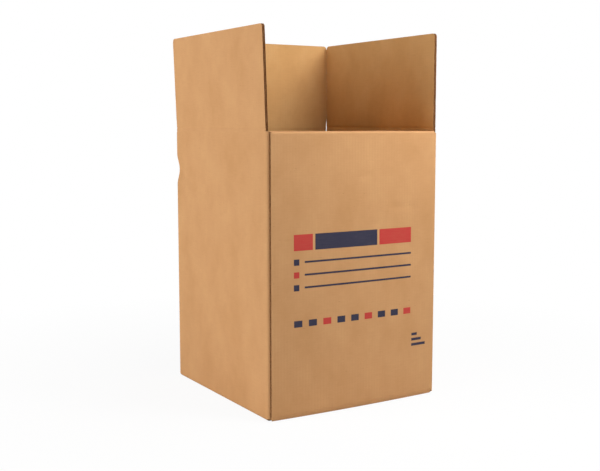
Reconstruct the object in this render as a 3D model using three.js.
// A shipping carton of double-wall corrugated board, folded from one slotted sheet.
// It stands open: the left, right and back flaps are up, and the front flap is folded in.
// Millimetres, +Z up, +X to the right of the front panel, +Y to the back.
// The origin is on the floor, under the middle of the carton.

import * as THREE from "three";

// Outside sizes of the set-up carton
const width = 436; // front and back panels, along X
const depth = 456; // left and right panels, along Y
const sideScoreHeight = 611.5; // floor to the crease of the left and right flaps

// The board and how it folds
const board = 6.4; // thickness of the double-wall board
const foldInside = 0.8; // radius on the inside of a fold
const layerGap = 0.4; // between two layers that lie on each other

// Flaps
const seamGap = 16; // left between the two outer top flaps when they are shut
const bottomSeam = 3; // left between the two outer flaps under the carton
const freeCornerRadius = 8; // the loose corners of a flap
const slotPastScore = 1.6; // how far a slot runs on below the crushed part of a crease
const creaseGap = 0.2; // clearance each side of a crease line
const leftFlapLean = 2; // degrees that the left flap leans out

// Glued joint at the front left corner
const tabWidth = 38; // flat part of the glue tab
const tabTaper = 18; // how much each end of the tab is cut back at its loose edge
const jointEdgeInset = 2; // cut edge of the front panel, in from the left panel's face

// Shape that the walls have taken on
const frontBow = 5.5; // the front panel bellies out at the middle of its foot
const dentDepth = 5.5; // knock in the upright corner between left and back
const dentHeight = 512; // floor to the middle of the knock
const dentHalfHeight = 36; // from the middle of the knock to where it fades out
const dentReach = 70; // from the corner to where the knock fades out

// How finely the walls are divided
const wallStep = 80; // widest cell along a flat wall
const dentSteps = 4; // rows over the height of the knock
const dentColumns = [0.2, 0.5, 1]; // columns over the reach of the knock, as shares of it
const foldSteps = 4; // cells round a fold

const foldRadius = board + foldInside;
const scoreStep = board + layerGap;
const frontScoreHeight = sideScoreHeight - scoreStep;
const sideFlapLength = (width - seamGap) / 2;
const endFlapLength = sideFlapLength + scoreStep;
const sideFootLength = (width - bottomSeam) / 2;
const endFootLength = sideFootLength + scoreStep;
const slotTop = frontScoreHeight - board - slotPastScore;
const slotFoot = scoreStep + foldRadius;
const quarterTurn = Math.PI / 2;
const hair = 0.001; // places closer than this are the same place

// Each panel has its outward direction, the direction it runs in, its distance from the middle,
// the height of its top crease and the height of the underside of its bottom flap.
const panels = {
  front: { out: [0, -1], run: [1, 0], face: depth / 2, score: frontScoreHeight, under: scoreStep },
  right: { out: [1, 0], run: [0, 1], face: width / 2, score: sideScoreHeight, under: 0 },
  back: { out: [0, 1], run: [-1, 0], face: depth / 2, score: frontScoreHeight, under: scoreStep },
  left: { out: [-1, 0], run: [0, -1], face: width / 2, score: sideScoreHeight, under: 0 },
  tab: { out: [0, -1], run: [1, 0], face: depth / 2 - scoreStep },
};

const endSpan = [foldRadius - width / 2, width / 2 - foldRadius];
const rightSpan = [foldRadius - depth / 2, depth / 2 - foldRadius];
const leftSpan = [foldRadius - depth / 2, depth / 2 - scoreStep - foldRadius];
const tabSpan = [foldRadius - width / 2, foldRadius + tabWidth - width / 2];

// Values from one to the other in equal steps no longer than the given one
function divide(from, to, step) {
  const count = Math.max(1, Math.ceil(Math.abs(to - from) / step));
  return Array.from({ length: count + 1 }, (_, i) => from + ((to - from) * i) / count);
}

// One at the middle, falling smoothly to nothing at distance one
function bump(distance) {
  return Math.abs(distance) < 1 ? (1 - distance * distance) ** 2 : 0;
}

// A closed skin round a folded sheet. Each node is a pair of points, one on each face of the board.
class Sheet {
  constructor() {
    this.points = [];
    this.index = new Map();
    this.cells = [];
  }

  node(key, outer, inner) {
    if (!this.index.has(key)) {
      this.index.set(key, this.points.length / 2);
      this.points.push(outer, inner);
    }
    return this.index.get(key);
  }

  // Four nodes, counter-clockwise as seen from outside the carton
  cell(...corners) {
    this.cells.push(corners);
  }

  geometry() {
    const faces = [];
    const edges = new Set(this.cells.flatMap((c) => c.map((a, i) => `${a},${c[(i + 1) % 4]}`)));
    for (const [a, b, c, d] of this.cells) {
      faces.push(2 * a, 2 * b, 2 * c, 2 * a, 2 * c, 2 * d);
      faces.push(2 * a + 1, 2 * c + 1, 2 * b + 1, 2 * a + 1, 2 * d + 1, 2 * c + 1);
    }
    for (const edge of edges) {
      const [a, b] = edge.split(",").map(Number);
      if (edges.has(`${b},${a}`)) continue;
      faces.push(2 * b, 2 * a, 2 * a + 1, 2 * b, 2 * a + 1, 2 * b + 1);
    }
    return solidGeometry(this.points, faces);
  }
}

function solidGeometry(points, faces) {
  const geometry = new THREE.BufferGeometry();
  geometry.setAttribute("position", new THREE.Float32BufferAttribute(points.flat(), 3));
  geometry.setIndex(faces);
  geometry.computeVertexNormals();
  return geometry;
}

// Where the sheet stands in plan: stations along the walls, counter-clockwise as seen from above
function planStations() {
  const stations = [];
  const straight = (name, places, span) => {
    const panel = panels[name];
    for (const place of places) {
      stations.push({
        name,
        out: panel.out,
        x: panel.out[0] * panel.face + panel.run[0] * place,
        y: panel.out[1] * panel.face + panel.run[1] * place,
        inFlap: place > span[0] - hair && place < span[1] + hair,
      });
    }
  };
  const fold = () => {
    const start = stations[stations.length - 1];
    const centre = [start.x - foldRadius * start.out[0], start.y - foldRadius * start.out[1]];
    for (let i = 1; i < foldSteps; i++) {
      const turn = (quarterTurn * i) / foldSteps;
      const out = [
        start.out[0] * Math.cos(turn) - start.out[1] * Math.sin(turn),
        start.out[0] * Math.sin(turn) + start.out[1] * Math.cos(turn),
      ];
      stations.push({
        name: "fold",
        out,
        x: centre[0] + foldRadius * out[0],
        y: centre[1] + foldRadius * out[1],
        inFlap: false,
      });
    }
  };
  const reaches = dentColumns.map((share) => foldRadius + share * dentReach);
  const dentInBack = reaches.map((reach) => width / 2 - reach).reverse();
  const dentInLeft = reaches.map((reach) => reach - depth / 2);
  const restOfBack = divide(endSpan[0], dentInBack[0], wallStep);
  const restOfLeft = divide(dentInLeft.at(-1), leftSpan[1], wallStep);
  straight("front", [jointEdgeInset - width / 2, ...divide(...endSpan, wallStep)], endSpan);
  fold();
  straight("right", divide(...rightSpan, wallStep), rightSpan);
  fold();
  straight("back", [...restOfBack, ...dentInBack.slice(1), endSpan[1]], endSpan);
  fold();
  straight("left", [leftSpan[0], ...dentInLeft.slice(0, -1), ...restOfLeft], leftSpan);
  fold();
  straight("tab", tabSpan, [0, 0]);
  return stations;
}

// The belly of the front panel and the knock in the corner, as a shift of a point of the wall
function wallShift(station, height, share = 1) {
  const along = (2 * station.x) / width;
  const belly = frontBow * (1 - along * along) * Math.cos((quarterTurn * height) / frontScoreHeight);
  const facing = Math.max(0, -station.out[1]);
  const fromCorner = Math.hypot(station.x + width / 2, station.y - depth / 2);
  const knock = dentDepth * bump(fromCorner / dentReach) * bump((height - dentHeight) / dentHalfHeight);
  const slant = Math.SQRT1_2 * knock;
  return [slant, -slant - belly * facing * share];
}

// A pair of points at a station: a height and a distance in from the wall's face, and the board's
// direction there, given as its parts inwards and upwards
function boardPair(station, height, inward, direction, share = 1) {
  const [dx, dy] = wallShift(station, height, share);
  const at = (into, up) => [
    station.x - into * station.out[0] + dx,
    station.y - into * station.out[1] + dy,
    up,
  ];
  return [
    at(inward, height),
    at(inward + board * direction[0], height + board * direction[1]),
  ];
}

// The rows below the slots of one panel: the bottom fold and the flap under the carton
function footRows(panel) {
  const rows = [];
  for (let i = 0; i <= foldSteps; i++) {
    const turn = (quarterTurn * i) / foldSteps;
    rows.push({
      height: panel.under + foldRadius * (1 - Math.sin(turn)),
      inward: foldRadius * (1 - Math.cos(turn)),
      direction: [Math.cos(turn), Math.sin(turn)],
      share: 1,
    });
  }
  const length = panel.under > 0 ? endFootLength : sideFootLength;
  rows.push({ height: panel.under, inward: length, direction: [0, 1], share: 0 });
  return panel.under > 0 ? rows.slice(1) : rows;
}

function cartonBody() {
  const sheet = new Sheet();
  const stations = planStations();
  const dentFoot = dentHeight - dentHalfHeight;
  const dentTop = dentHeight + dentHalfHeight;
  const dentRows = divide(dentFoot, dentTop, (dentTop - dentFoot) / dentSteps);
  const wallRows = [
    ...divide(slotFoot, dentFoot, wallStep),
    ...dentRows.slice(1, -1),
    ...divide(dentTop, slotTop, wallStep),
  ];
  const tabRow = (height) => {
    const share = (height - slotFoot) / (slotTop - slotFoot);
    return height + tabTaper * (1 - 2 * share);
  };
  const wallNode = (i, row) => {
    const station = stations[i];
    const atTabEdge = i === stations.length - 1;
    const height = atTabEdge ? tabRow(wallRows[row]) : wallRows[row];
    return sheet.node(`${i} wall ${row}`, ...boardPair(station, height, 0, [1, 0]));
  };
  const topNode = (i) => {
    const station = stations[i];
    const height = panels[station.name].score - creaseGap;
    return sheet.node(`${i} top`, ...boardPair(station, height, 0, [1, -1]));
  };
  const footNode = (i, row, rows) => {
    const { height, inward, direction, share } = rows[row];
    return sheet.node(`${i} foot ${row}`, ...boardPair(stations[i], height, inward, direction, share));
  };

  for (let i = 0; i + 1 < stations.length; i++) {
    for (let row = 0; row + 1 < wallRows.length; row++) {
      sheet.cell(wallNode(i, row), wallNode(i + 1, row), wallNode(i + 1, row + 1), wallNode(i, row + 1));
    }
    if (!(stations[i].inFlap && stations[i + 1].inFlap)) continue;
    const top = wallRows.length - 1;
    sheet.cell(wallNode(i, top), wallNode(i + 1, top), topNode(i + 1), topNode(i));
    const rows = footRows(panels[stations[i].name]);
    sheet.cell(footNode(i, 0, rows), footNode(i + 1, 0, rows), wallNode(i + 1, 0), wallNode(i, 0));
    for (let row = 0; row + 1 < rows.length; row++) {
      sheet.cell(
        footNode(i, row + 1, rows),
        footNode(i + 1, row + 1, rows),
        footNode(i + 1, row, rows),
        footNode(i, row, rows),
      );
    }
  }
  return sheet.geometry();
}

// A flap standing on its crease: X runs along the crease, the outer face is at Y = 0 and +Y is
// inside the carton. Its foot is cut at 45 degrees, to match the wall when it is shut.
function flapGeometry(span, length) {
  const foot = span.map((x) => [x, creaseGap]);
  const outline = [...foot];
  const rounded = (x, side) => {
    for (let i = 0; i <= foldSteps; i++) {
      const turn = (quarterTurn * (side > 0 ? i : foldSteps - i)) / foldSteps;
      outline.push([
        x - side * freeCornerRadius * (1 - Math.cos(turn)),
        length - freeCornerRadius * (1 - Math.sin(turn)),
      ]);
    }
  };
  rounded(span[1], 1);
  rounded(span[0], -1);

  const innerHeight = (z, i) => (i < foot.length ? z + board : z);
  const points = outline.flatMap(([x, z], i) => [[x, 0, z], [x, board, innerHeight(z, i)]]);
  const contour = outline.map(([x, z]) => new THREE.Vector2(x, z));
  const faces = [];
  for (const [a, b, c] of THREE.ShapeUtils.triangulateShape(contour, [])) {
    faces.push(2 * a, 2 * b, 2 * c, 2 * a + 1, 2 * c + 1, 2 * b + 1);
  }
  outline.forEach((_, a) => {
    const b = (a + 1) % outline.length;
    faces.push(2 * b, 2 * a, 2 * a + 1, 2 * b, 2 * a + 1, 2 * b + 1);
  });
  return solidGeometry(points, faces);
}

// A flap on its crease. A lean above zero turns it out, and a quarter turn below zero shuts it.
function flap(panelName, span, length, lean) {
  const panel = panels[panelName];
  const crease = new THREE.Group();
  crease.position.set(panel.out[0] * panel.face, panel.out[1] * panel.face, panel.score);
  crease.rotation.z = Math.atan2(panel.run[1], panel.run[0]);
  const mesh = new THREE.Mesh(flapGeometry(span, length), kraftBoard.clone());
  mesh.name = `${panelName}_flap`;
  mesh.rotation.x = lean;
  crease.add(mesh);
  return crease;
}

const kraftBoard = new THREE.MeshStandardMaterial({ color: "#c4936a", roughness: 0.88, metalness: 0 });

const carton = new THREE.Group();
const body = new THREE.Mesh(cartonBody(), kraftBoard.clone());
body.name = "carton_body";
carton.add(body);
carton.add(flap("left", leftSpan, sideFlapLength, THREE.MathUtils.degToRad(leftFlapLean)));
carton.add(flap("right", rightSpan, sideFlapLength, 0));
carton.add(flap("back", endSpan, endFlapLength, 0));
carton.add(flap("front", endSpan, endFlapLength, -quarterTurn));

export default carton;
